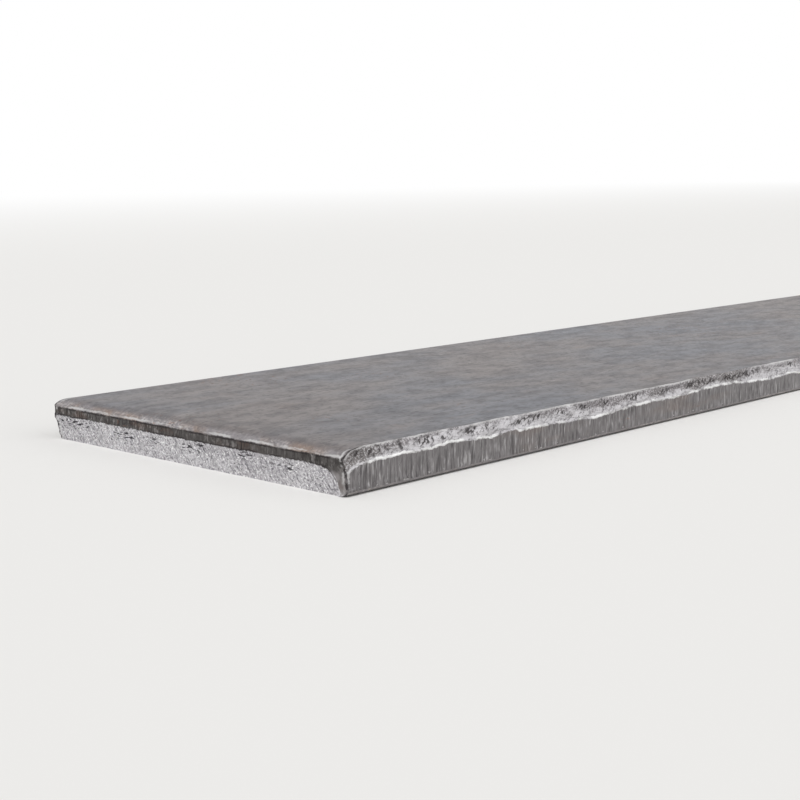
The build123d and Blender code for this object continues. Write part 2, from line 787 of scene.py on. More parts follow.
    def build(self, name: str) -> bpy.types.Object:
        """Makes the skin's mesh, with the finishes' readings on its face corners.

        Args:
            name: Name of the piece.

        Returns:
            The new object, in metres.
        """
        sheets = self.sheets()
        places = np.zeros((1 + max(int(sheet.indices.max()) for sheet in sheets), 3))
        polygons: list[list[int]] = []
        for sheet in sheets:
            places[sheet.indices.ravel()] = sheet.places.reshape(-1, 3)
            polygons.extend(sheet.indices.ravel()[sheet.faces].tolist())
        mesh = bpy.data.meshes.new(name)
        mesh.from_pydata((places * MM).tolist(), [], polygons)
        for reading in Reading:
            values = np.concatenate([sheet.read(reading) for sheet in sheets])
            layer = mesh.attributes.new(reading.value, "FLOAT", "CORNER")
            layer.data.foreach_set("value", values.astype(np.float32))
        flat_map = FlatMap()
        on_map = [flat_map.lay(*pair) for pair in zip(sheets, self.fineness, strict=True)]
        log.info("%s: %.0f of %d rows of the flat map used", name, flat_map.used, flat_map.pixels)
        unwrapped = mesh.uv_layers.new(name="OFBake", do_init=False)
        unwrapped.uv.foreach_set("vector", np.concatenate(on_map).astype(np.float32).ravel())
        mesh.shade_smooth()
        mesh.set_sharp_from_angle(angle=math.radians(self.sharp_angle))
        mesh.update()
        piece = bpy.data.objects.new(name, mesh)
        bpy.context.scene.collection.objects.link(piece)
        return piece


Source = bpy.types.Node | bpy.types.NodeSocket | float | tuple[float, ...]


def linear(shade: str) -> tuple[float, float, float, float]:
    """Turns an sRGB hex colour into the linear colour that a shader takes.

    Args:
        shade: Six hex digits after a #.

    Returns:
        Red, green, blue and an alpha of 1.
    """
    parts = [int(shade[i : i + 2], 16) / 255 for i in (1, 3, 5)]
    turned = [p / 12.92 if p <= 0.04045 else ((p + 0.055) / 1.055) ** 2.4 for p in parts]
    return (*turned, 1.0)


def add(
    tree: bpy.types.NodeTree, kind: str, inputs: dict[str | int, Source], **settings: object
) -> bpy.types.Node:
    """Adds a node with its settings and links.

    Args:
        tree: The node tree to add to.
        kind: The node's type name.
        inputs: Socket name or number, to a plain value, a socket, or a node whose first output it takes.
        **settings: The node's own properties.

    Returns:
        The new node.
    """
    made = tree.nodes.new(kind)
    for setting, value in settings.items():
        setattr(made, setting, value)
    for key, value in inputs.items():
        named = [s for s in made.inputs if s.enabled and s.name == key]
        socket = made.inputs[key] if isinstance(key, int) else named[0]
        if isinstance(value, bpy.types.Node):
            value = next(s for s in value.outputs if s.enabled)
        if isinstance(value, bpy.types.NodeSocket):
            tree.links.new(value, socket)
        else:
            socket.default_value = value
    return made


@dataclass(frozen=True)
class Pattern:
    """Cloudy noise of a real size in mm, read between two of its levels.

    It gives its least below the start level and its peak above the end level. Its slant
    is in degrees, about the axis that stands out of what it is laid on.
    """

    size: tuple[float, float, float]
    start: float = 0.35
    end: float = 0.65
    peak: float = 1.0
    least: float = 0.0
    slant: float = 0.0
    detail: float = 2.0
    breakup: float = 0.5
    offset: float = 0.0
    laid: Laid = Laid.ON_CUT

    def clouds(self, at: "Spot") -> bpy.types.Node:
        """Draws the plain noise.

        Args:
            at: The point of the bar.

        Returns:
            A node that gives levels round 0.5.
        """
        turn = math.radians(self.slant)
        cells = add(
            at.tree, "ShaderNodeMapping",
            {
                "Vector": at.places[self.laid],
                "Location": (self.offset, self.offset, self.offset),
                "Rotation": (0.0, turn, 0.0) if self.laid is Laid.ON_CUT else (0.0, 0.0, turn),
                "Scale": self.size,
            },
            vector_type="TEXTURE",
        )
        return add(
            at.tree, "ShaderNodeTexNoise",
            {"Vector": cells, "Scale": 1.0, "Detail": self.detail, "Roughness": self.breakup},
        )

    def draw(self, at: "Spot") -> bpy.types.Node:
        """Draws the pattern.

        Args:
            at: The point of the bar.

        Returns:
            A node that gives how much the pattern shows.
        """
        levels = {"From Min": self.start, "From Max": self.end, "To Min": self.least, "To Max": self.peak}
        return add(
            at.tree, "ShaderNodeMapRange", {"Value": self.clouds(at), **levels},
            interpolation_type="SMOOTHSTEP",
        )


@dataclass(frozen=True)
class Threads(Pattern):
    """Thin wandering lines, drawn where the noise crosses its middle level."""

    half_width: float = 0.02

    def draw(self, at: "Spot") -> bpy.types.Node:
        """Draws the lines.

        Args:
            at: The point of the bar.

        Returns:
            A node that gives the peak on a line and 0 beside it.
        """
        off = add(at.tree, "ShaderNodeMath", {0: self.clouds(at), 1: 0.5}, operation="SUBTRACT")
        off = add(at.tree, "ShaderNodeMath", {0: off}, operation="ABSOLUTE")
        return add(
            at.tree, "ShaderNodeMapRange",
            {"Value": off, "From Min": self.half_width, "From Max": 0.0, "To Max": self.peak},
        )


class Spot:
    """A point of the bar as the finishes see it: its place in mm and the mesh's readings."""

    # How far in mm the rims of zones and lines wander
    wander = Pattern((0.8, 0.8, 0.6), 0.3, 0.7, 0.15, -0.15, detail=3.0, breakup=0.6, offset=3.0)

    def __init__(self, tree: bpy.types.NodeTree) -> None:
        """Reads the place on the bar and the place on a cut.

        Args:
            tree: The material's node tree.
        """
        self.tree = tree
        coords = add(tree, "ShaderNodeTexCoord", {})
        on_bar = add(
            tree, "ShaderNodeVectorMath", {0: coords.outputs["Object"], 1: (1 / MM, 1 / MM, 1 / MM)},
            operation="MULTIPLY",
        )
        split = add(tree, "ShaderNodeSeparateXYZ", {0: on_bar})
        self.z = split.outputs["Z"]
        self.on_end = self.read(Reading.ON_END)
        along = add(
            tree, "ShaderNodeMix", {"Factor": self.on_end, "A": split.outputs["X"], "B": split.outputs["Y"]},
            data_type="FLOAT",
        )
        on_cut = add(tree, "ShaderNodeCombineXYZ", {"X": along, "Z": self.z})
        self.off_end = add(tree, "ShaderNodeMath", {0: 1.0, 1: self.on_end}, operation="SUBTRACT")
        self.places = {Laid.ON_BAR: on_bar, Laid.ON_CUT: on_cut}
        self.drawn: dict[object, Source] = {}
        self.ragged = self.draw(self.wander)

    def read(self, reading: Reading) -> bpy.types.NodeSocket:
        """Reads one of the mesh's readings."""
        return add(self.tree, "ShaderNodeAttribute", {}, attribute_name=reading.value).outputs["Fac"]

    def draw(self, *parts: "Pattern | Zone | Line | Side | Smear | Short | Row") -> Source:
        """Draws patterns, zones and lines, each of them once for the whole material.

        Args:
            *parts: One or more of them.

        Returns:
            How much they show together, from 0 to 1.
        """
        shown = None
        for part in parts:
            if part not in self.drawn:
                self.drawn[part] = part.draw(self)
            one = self.drawn[part]
            if shown is not None:
                one = add(self.tree, "ShaderNodeMath", {0: shown, 1: one}, operation="MULTIPLY")
            shown = one
        return shown


class Side(Enum):
    """The kind of cut that something shows on only: an end or a long edge."""

    END = "on_end"
    EDGE = "off_end"

    def draw(self, at: Spot) -> Source:
        """Gives 1 on such a cut."""
        return getattr(at, self.value)


@dataclass(frozen=True)
class Zone:
    """A zone with a ragged rim, that begins to show at one reading in mm and shows in full at another."""

    reading: Reading
    start: float
    full: float

    def draw(self, at: Spot) -> bpy.types.Node:
        """Draws the zone.

        Args:
            at: The point of the bar.

        Returns:
            A node that gives how much the zone shows, from 0 to 1.
        """
        moved = add(at.tree, "ShaderNodeMath", {0: at.read(self.reading), 1: at.ragged}, operation="ADD")
        return add(
            at.tree, "ShaderNodeMapRange", {"Value": moved, "From Min": self.start, "From Max": self.full},
            interpolation_type="SMOOTHSTEP",
        )


@dataclass(frozen=True)
class Line:
    """A ragged line along one reading in mm. Its core is the share of it that shows in full."""

    reading: Reading
    middle: float
    half_width: float
    core: float = 0.3

    def draw(self, at: Spot) -> bpy.types.Node:
        """Draws the line.

        Args:
            at: The point of the bar.

        Returns:
            A node that gives how much the line shows, from 0 to 1.
        """
        off = add(at.tree, "ShaderNodeMath", {0: at.read(self.reading), 1: at.ragged}, operation="ADD")
        off = add(at.tree, "ShaderNodeMath", {0: off, 1: self.middle}, operation="SUBTRACT")
        off = add(at.tree, "ShaderNodeMath", {0: off}, operation="ABSOLUTE")
        return add(
            at.tree, "ShaderNodeMapRange",
            {"Value": off, "From Min": self.half_width, "From Max": self.half_width * self.core},
            interpolation_type="SMOOTHSTEP",
        )


@dataclass(frozen=True)
class Smear:
    """Metal wiped from the land over the break, as many mm down as its patterns say together."""

    reaches: tuple[Pattern, ...]
    rim: float = 0.5
    peak: float = 0.7

    def draw(self, at: Spot) -> bpy.types.Node:
        """Draws the smear.

        Args:
            at: The point of the bar.

        Returns:
            A node that gives the peak in the smear and 0 below it.
        """
        depth = at.read(Reading.TORN)
        for reach in self.reaches:
            depth = add(at.tree, "ShaderNodeMath", {0: depth, 1: at.draw(reach)}, operation="SUBTRACT")
        return add(
            at.tree, "ShaderNodeMapRange",
            {"Value": depth, "From Min": self.rim, "From Max": -self.rim, "To Max": self.peak},
            interpolation_type="SMOOTHSTEP",
        )


@dataclass(frozen=True)
class Short:
    """Where a pattern falls short of a level: nothing at the level, and the peak where it gives 0."""

    pattern: Pattern
    level: float
    peak: float

    def draw(self, at: Spot) -> bpy.types.Node:
        """Draws where it falls short."""
        levels = {"From Min": self.level, "From Max": 0.0, "To Max": self.peak}
        return add(at.tree, "ShaderNodeMapRange", {"Value": at.draw(self.pattern), **levels})


@dataclass(frozen=True)
class Row:
    """A level row at a height in mm, that drifts down by so many mm where its pattern gives 1."""

    height: float
    drift: Pattern
    wander: float
    half_width: float
    half_core: float

    def draw(self, at: Spot) -> bpy.types.Node:
        """Draws the row.

        Args:
            at: The point of the bar.

        Returns:
            A node that gives 1 in the row's core and 0 off the row.
        """
        off = {0: at.draw(self.drift), 1: self.wander, 2: at.z}
        off = add(at.tree, "ShaderNodeMath", off, operation="MULTIPLY_ADD")
        off = add(at.tree, "ShaderNodeMath", {0: off, 1: self.height}, operation="SUBTRACT")
        off = add(at.tree, "ShaderNodeMath", {0: off}, operation="ABSOLUTE")
        levels = {"From Min": self.half_width, "From Max": self.half_core}
        return add(at.tree, "ShaderNodeMapRange", {"Value": off, **levels})


@dataclass(frozen=True)
class Mark:
    """Something on a finish: its colour, what it shows by, and what it shows within.

    Where it shows in full, it makes the finish so much rougher, and raises it by so many mm.
    """

    shade: str
    shows: Pattern | Line | Smear | Short
    within: tuple[Pattern | Zone | Line | Side | Row, ...] = ()
    rougher: float = 0.0
    raised: float = 0.0


@dataclass(frozen=True)
class Layer:
    """What a finish gives the shader at each point. Height is relief in mm."""

    colour: Source
    roughness: Source
    height: Source
    metallic: Source

    def under(self, at: Spot, share: Source, other: "Layer") -> "Layer":
        """Covers this layer with another.

        Args:
            at: The point of the bar.
            share: How much the other covers, from 0 to 1.
            other: The layer on top.

        Returns:
            The two as one layer.
        """
        mixed = {
            part: add(
                at.tree, "ShaderNodeMix",
                {"Factor": share, "A": getattr(self, part), "B": getattr(other, part)},
                data_type="RGBA" if part == "colour" else "FLOAT",
            )
            for part in ("colour", "roughness", "height", "metallic")
        }
        return Layer(**mixed)

    def marked(self, at: Spot, *marks: Mark) -> "Layer":
        """Draws marks on this layer, one over another.

        Args:
            at: The point of the bar.
            *marks: The marks, the lowest first.

        Returns:
            The layer with its marks.
        """
        colour, sums = self.colour, [self.roughness, self.height]
        for mark in marks:
            share = at.draw(mark.shows, *mark.within)
            mixed = {"Factor": share, "A": colour, "B": linear(mark.shade)}
            colour = add(at.tree, "ShaderNodeMix", mixed, data_type="RGBA")
            for i, weight in enumerate((mark.rougher, mark.raised)):
                if weight:
                    weighed = {0: share, 1: weight, 2: sums[i]}
                    sums[i] = add(at.tree, "ShaderNodeMath", weighed, operation="MULTIPLY_ADD")
        return Layer(colour, *sums, self.metallic)


@dataclass(frozen=True)
class Finish:
    """A finish: its plain colour, how rough, metallic and proud it is, and its marks, the lowest first."""

    plain: str
    roughness: float
    metallic: float
    proud: float = 0.0

    def lay(self, at: Spot) -> Layer:
        """Draws the finish, with those of its fields that are marks."""
        plain = Layer(linear(self.plain), self.roughness, self.proud, self.metallic)
        return plain.marked(at, *(mark for mark in vars(self).values() if isinstance(mark, Mark)))


@dataclass(frozen=True)
class MillScale(Finish):
    """Hot-rolled steel's oxide skin, pressed smooth by the mill's rolls.

    A dull taupe grey film with a low sheen, clouded with lilac blue and brown. Its mottling
    is drawn out a little along the rolling direction, small scabs of it have flaked off, it
    has freckles of brown, and handling has scratched it finely.
    """

    plain: str = "#6d6563"
    roughness: float = 0.42
    metallic: float = 0.55
    clouds: Mark = Mark(
        "#5c606a", Pattern((70.0, 34.0, 34.0), 0.38, 0.68, 0.85, detail=5.0, breakup=0.65, laid=Laid.ON_BAR)
    )
    browns: Mark = Mark(
        "#6f5d54",
        Pattern((16.0, 11.0, 11.0), 0.56, 0.74, 0.5, detail=5.0, breakup=0.7, offset=51.0, laid=Laid.ON_BAR),
    )
    mottles: Mark = Mark(
        "#444246",
        Pattern((9.0, 5.0, 5.0), 0.40, 0.66, 0.5, detail=5.0, breakup=0.65, offset=14.0, laid=Laid.ON_BAR),
        rougher=0.14, raised=-0.01,
    )
    specks: Mark = Mark(
        "#444246", Pattern((1.6, 1.2, 1.2), 0.49, 0.66, 0.5, detail=3.0, breakup=0.65, laid=Laid.ON_BAR),
        rougher=0.12, raised=-0.02,
    )
    drawn_out: Mark = Mark(
        "#8f8a89", Pattern((190.0, 0.7, 0.7), 0.52, 0.74, 0.25, detail=3.0, breakup=0.6, laid=Laid.ON_BAR),
        raised=0.004,
    )
    flakes: Mark = Mark(
        "#8f8a89",
        Pattern((2.6, 1.6, 1.6), 0.66, 0.69, 0.5, detail=4.0, breakup=0.65, offset=88.0, laid=Laid.ON_BAR),
        rougher=-0.06, raised=-0.03,
    )
    scuffs: Mark = Mark(
        "#8f8a89", Pattern((28.0, 0.34, 0.34), 0.67, 0.71, 0.5, slant=14.0, offset=40.0, laid=Laid.ON_BAR)
    )
    cross_scuffs: Mark = Mark(
        "#8f8a89", Pattern((17.0, 0.30, 0.30), 0.69, 0.73, 0.5, slant=-38.0, offset=70.0, laid=Laid.ON_BAR)
    )


@dataclass(frozen=True)
class RolledScale(Finish):
    """Mill scale that the crop shear drew over the end's rounded shoulder.

    The film crazed and flaked as it was bent, so it is paler than on the flat, and sandy in
    some stretches, with level cracks, and rust has begun in it.
    """

    plain: str = "#827e80"
    roughness: float = 0.5
    metallic: float = 0.35
    sand: Mark = Mark(
        "#b9b3b0", Pattern((0.9, 0.9, 0.5), 0.44, 0.64, 0.8, detail=3.0, breakup=0.65, offset=8.0),
        (Pattern((24.0, 24.0, 60.0), 0.44, 0.58, least=0.3, detail=3.0, offset=16.0),),
        rougher=0.1, raised=0.03,
    )
    rust: Mark = Mark(
        "#846e5e", Pattern((14.0, 14.0, 12.0), 0.46, 0.62, 0.65, detail=5.0, breakup=0.6, offset=54.0),
        (Side.END,), rougher=0.15,
    )
    cracks: Mark = Mark(
        "#4f4a49", Threads((5.0, 5.0, 0.7), peak=0.6, offset=31.0, half_width=0.025), raised=-0.05
    )


@dataclass(frozen=True)
class BurnishedLand(Finish):
    """Mild steel wiped smooth by the shear's blade.

    Soft bright and dark score lines run the way the blade went, strong in some stretches
    and faint in others, with a few deep ones. Here and there it is stained brown, it is
    scratched at a slant by handling, and it is chipped along the roll. The score lines of
    a real land are finer: they are drawn 0.4 mm and wider so that they show.
    """

    stretches = Pattern((12.0, 12.0, 6.0), 0.36, 0.60, 0.99, 0.35, offset=71.0)

    plain: str = "#858283"
    roughness: float = 0.36
    metallic: float = 0.85
    gleams: Mark = Mark(
        "#c3c1c2", Pattern((0.8, 0.8, 5.0), 0.50, 0.68, 0.9, detail=2.5, breakup=0.65, offset=20.0),
        (stretches,), raised=0.02,
    )
    scores: Mark = Mark(
        "#494647", Pattern((0.8, 0.8, 7.0), 0.46, 0.66, 0.75, detail=2.5, breakup=0.65),
        (stretches,), rougher=0.12, raised=-0.03,
    )
    hairs: Mark = Mark(
        "#494647", Pattern((0.4, 0.4, 3.5), 0.42, 0.66, 0.55, detail=3.0, breakup=0.7, offset=66.0),
        raised=-0.01,
    )
    stains: Mark = Mark(
        "#83756d", Pattern((26.0, 26.0, 7.0), 0.54, 0.70, 0.4, detail=4.0, offset=90.0), rougher=0.15
    )
    deep: Mark = Mark(
        "#494647", Pattern((0.8, 0.8, 9.0), 0.70, 0.75, 0.8, detail=1.0, offset=50.0), raised=-0.05
    )
    slants: Mark = Mark(
        "#494647", Pattern((0.3, 0.3, 8.0), 0.71, 0.74, 0.8, slant=42.0, detail=1.0, offset=33.0),
        raised=-0.04,
    )
    wear: Mark = Mark(
        "#c9c8c8", Line(Reading.SCALED, -0.7, 1.3), (Pattern((1.2, 1.2, 0.7), 0.64, 0.69, 0.8, offset=35.0),)
    )


@dataclass(frozen=True)
class EndLand(BurnishedLand):
    """Mild steel wiped by the shear's blade at a cropped end.

    Its plain colour is painted darker than a long edge's land, a painted reflection of dark
    surroundings in the smooth burnish. It has short coarse score lines and brown stains. Where it
    runs down to the foot at one corner, it is smudged pale.
    """

    stretches = BurnishedLand.stretches

    # Painted darker than the edge land's plain colour: a painted reflection of dark surroundings
    plain: str = "#5b5857"
    gleams: Mark = Mark(
        "#9a9695", Pattern((1.3, 1.3, 1.8), 0.50, 0.66, 0.8, detail=3.0, breakup=0.7, offset=20.0),
        (stretches,), raised=0.02,
    )
    scores: Mark = Mark(
        "#2a2726", Pattern((1.2, 1.2, 2.2), 0.44, 0.62, 0.8, detail=3.0, breakup=0.7),
        (stretches,), rougher=0.12, raised=-0.03,
    )
    hairs: Mark = replace(BurnishedLand.hairs, shade="#2a2726")
    stains: Mark = Mark(
        "#6b5348", Pattern((16.0, 16.0, 7.0), 0.46, 0.66, 0.6, detail=4.0, offset=90.0), rougher=0.15
    )
    deep: Mark = replace(BurnishedLand.deep, shade="#2a2726")
    slants: Mark = replace(BurnishedLand.slants, shade="#2a2726")
    wear: Mark = Mark(
        "#979393", Pattern((1.0, 1.0, 2.4), 0.36, 0.60, 0.95, 0.45, detail=3.0, offset=83.0),
        (Zone(Reading.DIVED, 0.15, 1.8),),
    )


@dataclass(frozen=True)
class TornSteel(Finish):
    """Mild steel where it tore off under the slitting blade.

    Next to the land the metal is smeared bright, in a strip that is tall in some stretches
    and almost gone in others. Beyond it the break is sandy and grey, and duller where the
    smear is short. A row of dark slanted pits, in bunches, runs along the break.
    """

    reach = Pattern((38.0, 38.0, 120.0), 0.40, 0.60, 2.2, detail=3.0, offset=38.0)

    plain: str = "#868284"
    roughness: float = 0.55
    metallic: float = 0.8
    dull: Mark = Mark("#6c6765", Short(reach, 1.2, 0.9))
    smear: Mark = Mark(
        "#cecccf", Smear((reach, Pattern((3.6, 3.6, 0.9), 0.30, 0.70, slant=9.0, detail=3.0, offset=5.0))),
        rougher=-0.12, raised=0.04,
    )
    grits: Mark = Mark(
        "#cdcbcd", Pattern((0.5, 0.5, 0.42), 0.44, 0.62, 0.75, detail=3.0, breakup=0.7, offset=15.0),
        rougher=0.08, raised=0.05,
    )
    shades: Mark = Mark(
        "#383434",
        Pattern((1.4, 1.4, 0.5), 0.49, 0.66, 0.6, slant=-25.0, detail=3.0, breakup=0.65, offset=72.0),
    )
    pits: Mark = Mark(
        "#383434", Pattern((1.9, 1.9, 0.85), 0.50, 0.56, 0.9, slant=-35.0, breakup=0.6, offset=61.0),
        (
            Pattern((5.2, 5.2, 60.0), 0.43, 0.51, offset=27.0),
            Pattern((34.0, 34.0, 90.0), 0.30, 0.42, offset=93.0),
            Line(Reading.RIM, 1.5, 1.1),
        ),
        raised=-0.3,
    )
    cracks: Mark = Mark(
        "#383434",
        Threads((9.0, 9.0, 1.4), peak=0.5, slant=7.0, detail=3.0, offset=47.0, half_width=0.012),
        raised=-0.1,
    )


@dataclass(frozen=True)
class BrokenEnd(Finish):
    """Mild steel's grain where the end broke off.

    A pale grey of crystal facets that sparkle, with soft combed shadows at a slant. Small
    dark dashes lie in bunches along the middle of the thickness, where the plate has its
    slag and its pores, and a few slanted nicks anywhere. Real facets are under 0.1 mm:
    they are drawn 0.4 mm and wider so that they show.
    """

    drifting = Pattern((16.0, 16.0, 7.0), 0.35, 0.65, 0.3, detail=3.0, offset=5.0)

    plain: str = "#b4b1b5"
    roughness: float = 0.5
    metallic: float = 0.8
    drift: Mark = Mark("#ecebed", drifting)
    facets: Mark = Mark(
        "#ecebed", Pattern((0.5, 0.5, 0.42), 0.46, 0.60, 0.75, detail=3.0, breakup=0.7),
        rougher=0.1, raised=0.05,
    )
    combed: Mark = Mark(
        "#5c5960", Pattern((0.42, 0.42, 2.0), 0.50, 0.66, 0.5, slant=33.0, offset=23.0), raised=-0.05
    )
    shade: Mark = Mark(
        "#5c5960", Pattern((0.6, 0.6, 0.5), 0.50, 0.68, 0.75, detail=3.0, breakup=0.7, offset=44.0),
        raised=-0.06,
    )
    glints: Mark = Mark(
        "#ffffff", Pattern((0.42, 0.42, 0.42), 0.64, 0.70, 0.8, detail=1.0, offset=12.0), rougher=-0.2
    )
    dashes: Mark = Mark(
        "#322f34", Pattern((1.8, 1.8, 0.5), 0.53, 0.58, 0.95, offset=81.0),
        (Pattern((11.0, 11.0, 60.0), 0.40, 0.50, offset=63.0), Row(4.9, drifting, 3.0, 1.4, 0.56)),
        raised=-0.2,
    )
    nicks: Mark = Mark(
        "#322f34", Pattern((0.5, 0.5, 1.0), 0.65, 0.69, 0.85, slant=48.0, detail=1.0, offset=37.0),
        raised=-0.2,
    )


@dataclass(frozen=True)
class RustBloom(Finish):
    """Orange-brown rust that has begun in freckles, matt and not metallic."""

    plain: str = "#8f6148"
    roughness: float = 0.85
    metallic: float = 0.0
    proud: float = 0.02
    freckles: Pattern = Pattern(
        (1.3, 1.3, 0.8), 0.60, 0.70, 0.9, detail=4.0, breakup=0.65, offset=7.0, laid=Laid.ON_BAR
    )
    areas: Pattern = Pattern((48.0, 30.0, 12.0), 0.56, 0.70, detail=3.0, offset=66.0, laid=Laid.ON_BAR)
    old: Mark = Mark("#654435", Pattern((2.5, 2.5, 1.5), 0.40, 0.60, offset=18.0, laid=Laid.ON_BAR))


@dataclass(frozen=True)
class ShearedSteel:
    """Hot-rolled mild steel with its mill scale on, sheared all round.

    One material, because the bar is one piece: each finish shows where the shear or the
    mill left it, by the readings stored with the mesh.
    """

    patchy = Pattern((5.0, 5.0, 5.0), 0.38, 0.56, 0.85, detail=3.0, offset=29.0)
    # Patches where an end's roll gets its painted highlight and the upright corners their wear and painted
    # highlight
    worn_and_highlit_patches = Pattern((6.0, 6.0, 1.2), 0.42, 0.56, 0.7, detail=3.0, offset=58.0, laid=Laid.ON_BAR)

    name: str = "hot_rolled_steel_sheared"
    flat_scale: MillScale = MillScale()
    rolled_scale: RolledScale = RolledScale()
    edge_land: BurnishedLand = BurnishedLand()
    end_land: EndLand = EndLand()
    torn: TornSteel = TornSteel()
    broken: BrokenEnd = BrokenEnd()
    rust: RustBloom = RustBloom()

    # Where each finish shows
    dived_zone: Zone = Zone(Reading.DIVED, 0.15, 1.8)
    broken_zone: Zone = Zone(Reading.TORN, -0.08, 0.12)
    faded_zone: Zone = Zone(Reading.TORN, -1.3, 0.1)
    rolled_zone: Zone = Zone(Reading.SCALED, -0.1, 0.45)
    flat_zone: Zone = Zone(Reading.SCALED, 1.5, 2.7)

    # Painted highlights and a painted shade line on the bare steel
    # Painted highlight along the long edges' tear line, where the lip faces up
    painted_tear_highlight: Mark = Mark("#ebebea", Line(Reading.TORN, 0.1, 0.42), (Side.EDGE, patchy))
    # Painted highlight along the rim where the long edges' break meets the wide face, where the burr catches
    # light
    burr: Mark = Mark(
        "#c9c8c8", Line(Reading.RIM, 0.15, 0.38),
        (Side.EDGE, Pattern((15.0, 15.0, 15.0), 0.42, 0.56, 0.85, detail=3.0, offset=97.0)),
    )
    # Painted shade line in the crease just above an end's break, except where its land dives
    painted_crease_shade: Mark = Mark(
        "#2f2b2c", Line(Reading.TORN, -0.14, 0.3), (Side.END, Zone(Reading.DIVED, 1.8, 0.15), patchy)
    )

    # Painted highlights and painted shade lines on the ends' rolls, and at the upright corners
    # Painted highlight along an end's roll, where it catches the light, in patches
    shine: Mark = Mark("#c9c8c8", Line(Reading.SCALED, 0.75, 0.5), (Side.END, worn_and_highlit_patches))
    # Painted shade line along the shoulder where an end's roll turns off its land, in patches
    shoulder: Mark = Mark(
        "#2f2b2c", Line(Reading.SCALED, -0.05, 0.5),
        (Side.END, Pattern((3.0, 3.0, 1.2), 0.36, 0.54, 0.9, detail=3.0, offset=19.0, laid=Laid.ON_BAR)),
    )
    # Pale line near each upright corner: partly wear, partly a painted highlight of the edge
    worn_and_highlit_corner: Mark = Mark("#c9c8c8", Line(Reading.CORNER, 0.8, 0.45), (worn_and_highlit_patches,))
    # Painted shade line right at each upright corner, ragged and patchy
    painted_corner_shade: Mark = Mark(
        "#2f2b2c", Line(Reading.CORNER, 0.0, 0.55),
        (Pattern((1.4, 1.4, 1.1), 0.34, 0.50, 0.9, detail=3.0, offset=77.0, laid=Laid.ON_BAR),),
    )

    def make(self) -> bpy.types.Material:
        """Makes the material.

        Returns:
            The material.
        """
        material = bpy.data.materials.new(self.name)
        material.use_nodes = True
        tree = material.node_tree
        tree.nodes.clear()
        at = Spot(tree)
        land = self.edge_land.lay(at).under(at, at.on_end, self.end_land.lay(at))
        broken = self.torn.lay(at).under(at, at.on_end, self.broken.lay(at))
        # The land stops sharply at the break, but where it has dived it fades out into the grain
        stops = {"A": at.draw(self.broken_zone), "B": at.draw(self.faded_zone)}
        stop = add(tree, "ShaderNodeMix", {"Factor": at.draw(self.dived_zone), **stops}, data_type="FLOAT")
        skin = land.under(at, stop, broken).marked(at, self.painted_tear_highlight, self.burr, self.painted_crease_shade)
        skin = skin.under(at, at.draw(self.rolled_zone), self.rolled_scale.lay(at))
        skin = skin.under(at, at.draw(self.flat_zone), self.flat_scale.lay(at))
        skin = skin.marked(at, self.shine, self.shoulder, self.worn_and_highlit_corner, self.painted_corner_shade)
        skin = skin.under(at, at.draw(self.rust.freckles, self.rust.areas), self.rust.lay(at))

        relief = add(tree, "ShaderNodeBump", {"Height": skin.height, "Distance": MM, "Strength": 1.0})
        shader = add(
            tree, "ShaderNodeBsdfPrincipled",
            {
                "Base Color": skin.colour, "Roughness": skin.roughness, "Metallic": skin.metallic,
                "Normal": relief,
            },
        )
        add(tree, "ShaderNodeOutputMaterial", {"Surface": shader})
        return material


def bearing(heading: float, rise: float) -> Vector:
    """Gives the direction at a heading and a rise, both in degrees."""
    turn, up = math.radians(heading), math.radians(rise)
    return Vector((math.cos(turn) * math.cos(up), math.sin(turn) * math.cos(up), math.sin(up)))


@dataclass(frozen=True)
class Viewpoint:
    """Where the photographer stood, seen from the bar's near corner."""

    heading: float = 44.3
    elevation: float = 12.0
    distance: float = 0.307
    focal_pixels: float = 837.0
    zoom: float = 1.8
    corner_pixel: tuple[float, float] = (345.0, 475.0)
    sensor_width: float = 36.0

    def place(self, corner: Vector) -> None:
        """Puts the camera there, level, with the near corner at its pixel.

        Args:
            corner: The near corner, in metres.
        """
        focal = self.focal_pixels * self.zoom
        across = (self.corner_pixel[0] - FRAME_PIXELS / 2) / focal
        up = (FRAME_PIXELS / 2 - self.corner_pixel[1]) / focal
        reach = math.sqrt(1 + across**2 + up**2)
        tilt = math.atan(up)
        pitch = tilt + math.asin(reach * math.cos(tilt) * math.sin(math.radians(self.elevation)))
        turn = math.atan2(across, math.cos(pitch) + up * math.sin(pitch))
        data = bpy.data.cameras.new("camera")
        data.sensor_width = self.sensor_width
        data.lens = self.sensor_width * focal / FRAME_PIXELS
        data.clip_start, data.clip_end = 0.01, 100.0
        camera = bpy.data.objects.new("camera", data)
        camera.location = corner - bearing(self.heading, -self.elevation) * self.distance
        camera.rotation_euler = (math.pi / 2 - pitch, 0.0, math.radians(self.heading) + turn - math.pi / 2)
        bpy.context.scene.collection.objects.link(camera)
        bpy.context.scene.camera = camera


@dataclass(frozen=True)
class Lamp:
    """One soft studio lamp, so far off that it lights the whole length of the bar evenly."""

    name: str
    heading: float
    elevation: float
    softness: float
    strength: float
    distance: float = 3.0

    def place(self) -> None:
        """Hangs the lamp and aims it."""
        data = bpy.data.lights.new(self.name, "SUN")
        data.angle = math.radians(self.softness)
        data.energy = self.strength
        back = bearing(self.heading, self.elevation)
        lamp = bpy.data.objects.new(self.name, data)
        lamp.location = back * self.distance
        lamp.rotation_euler = (-back).to_track_quat("-Z", "Y").to_euler()
        bpy.context.scene.collection.objects.link(lamp)


